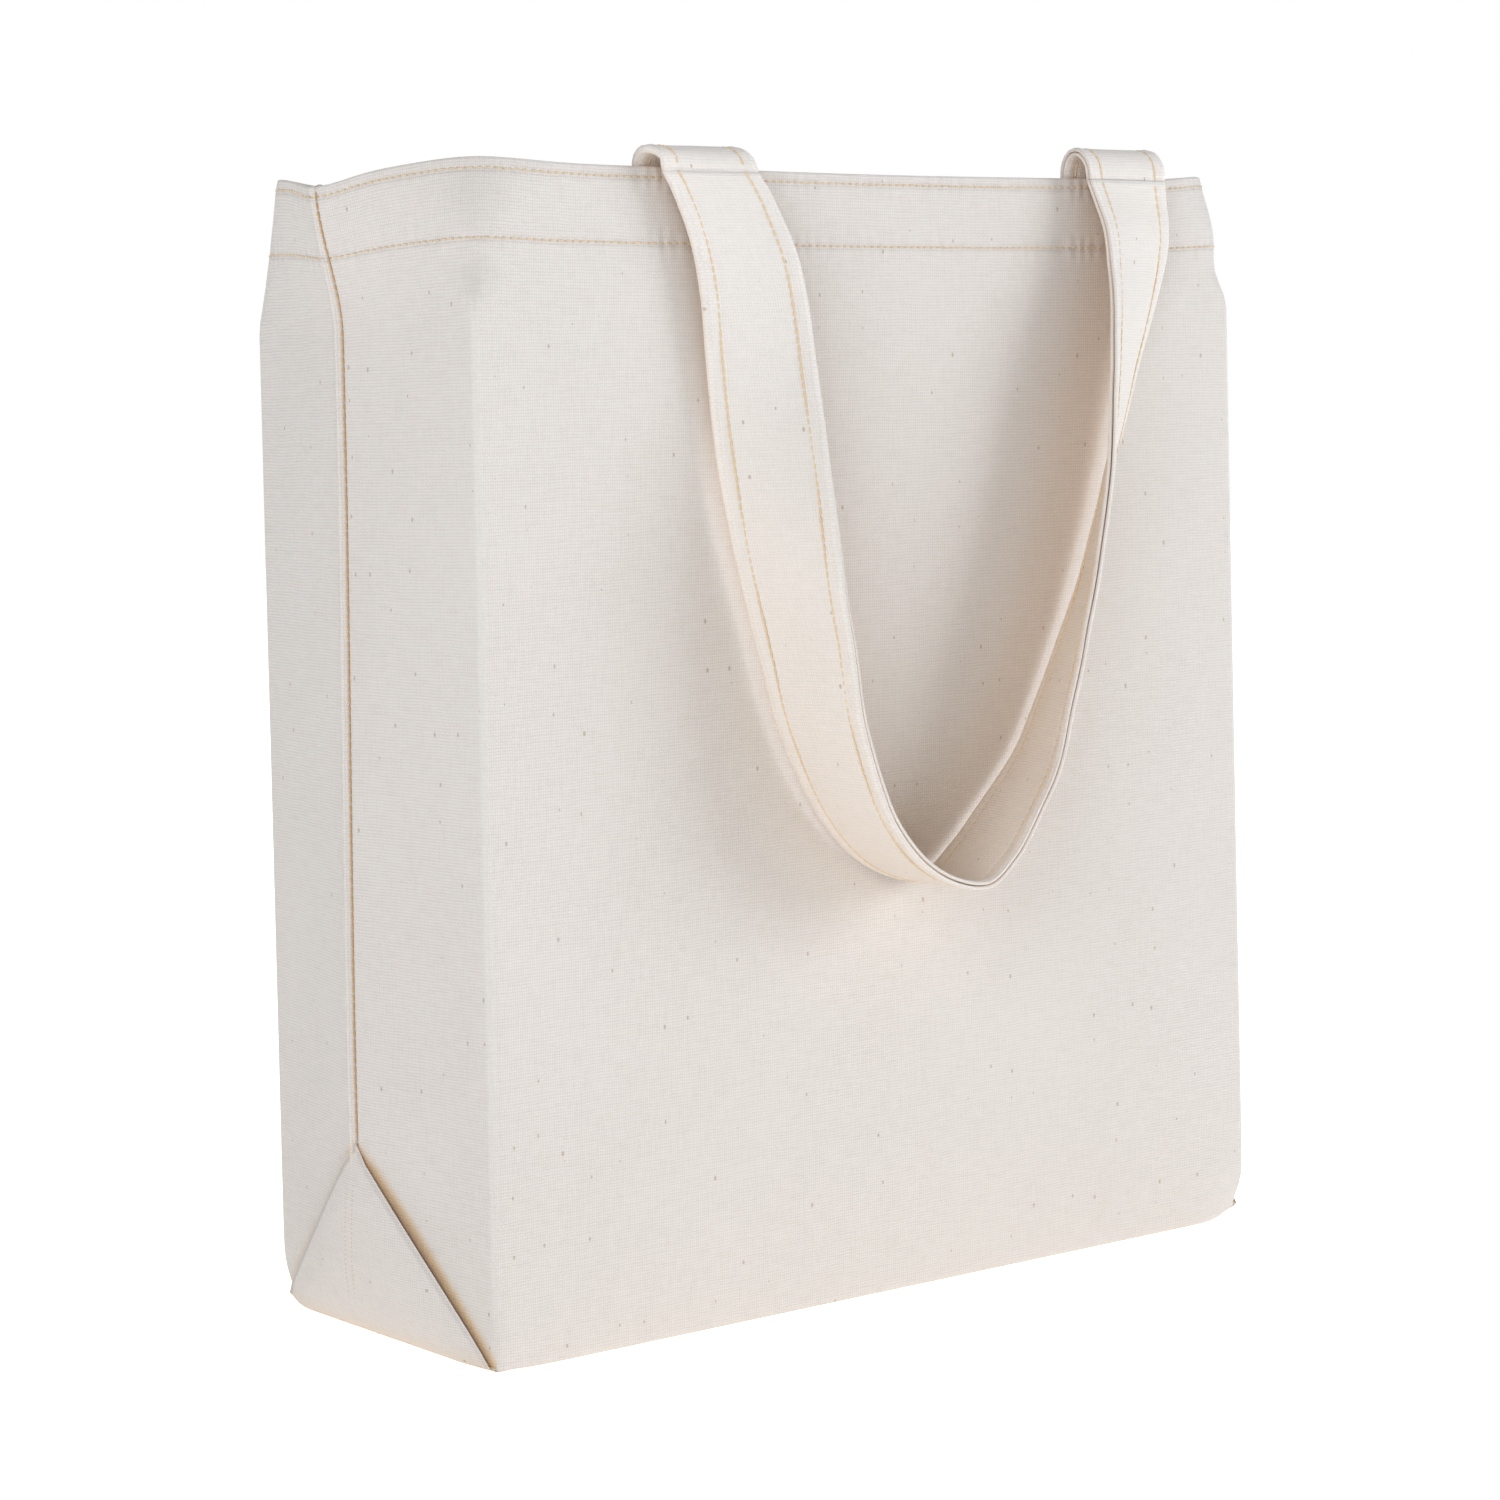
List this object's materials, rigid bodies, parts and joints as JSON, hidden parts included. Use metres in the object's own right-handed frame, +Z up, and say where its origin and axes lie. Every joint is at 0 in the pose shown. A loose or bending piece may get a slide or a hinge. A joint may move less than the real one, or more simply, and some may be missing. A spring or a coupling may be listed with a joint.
{
  "type": "tote bag",
  "caption": "Open canvas shopping bag with a folded flat base, hemmed mouth and sewn carrying straps that swing from the rim.",
  "frame": {"origin": "middle of the base on the ground", "axes": "+Z up, the longest extent, from the base to the rim; +X across the width; the front, whose strap hangs in view, faces -Y, along the shortest extent"},
  "size_m": [0.3778, 0.222, 0.41],
  "materials": {
    "canvas": "natural undyed plain-weave cotton canvas with small seed flecks",
    "strap_canvas": "the same canvas folded in four layers and pressed flat",
    "thread": "golden tan sewing thread, slightly glossy"
  },
  "bodies": {
    "root": {"back_handle_left_rim_bend": "strap_canvas", "back_handle_left_sewn_end": "strap_canvas", "back_handle_right_rim_bend": "strap_canvas", "back_handle_right_sewn_end": "strap_canvas", "back_panel": "canvas", "base_panel": "canvas", "front_handle_left_rim_bend": "strap_canvas", "front_handle_left_sewn_end": "strap_canvas", "front_handle_right_rim_bend": "strap_canvas", "front_handle_right_sewn_end": "strap_canvas", "front_panel": "canvas", "left_corner_flap": "canvas", "left_seam_allowance": "canvas", "left_seam_thread": "thread", "left_side_back_half": "canvas", "left_side_front_half": "canvas", "lower_hem_thread": "thread", "right_corner_flap": "canvas", "right_seam_allowance": "canvas", "right_seam_thread": "thread", "right_side_back_half": "canvas", "right_side_front_half": "canvas", "upper_hem_thread": "thread"},
    "front_handle": {"front_handle_inner_stitch_row": "thread", "front_handle_loop": "strap_canvas", "front_handle_outer_stitch_row": "thread"},
    "back_handle": {"back_handle_inner_stitch_row": "thread", "back_handle_loop": "strap_canvas", "back_handle_outer_stitch_row": "thread"}
  },
  "joints": [
    {"name": "front_handle_swing", "type": "hinge", "parent": "root", "child": "front_handle", "pos_m": [0, -0.0725, 0.405], "axis": [-1, 0, 0], "range_deg": [0, 175], "deforming": ["front_handle_left_rim_bend", "front_handle_right_rim_bend"]},
    {"name": "back_handle_swing", "type": "hinge", "parent": "root", "child": "back_handle", "pos_m": [0, 0.0725, 0.405], "axis": [1, 0, 0], "range_deg": [0, 175], "deforming": ["back_handle_left_rim_bend", "back_handle_right_rim_bend"]}
  ]
}
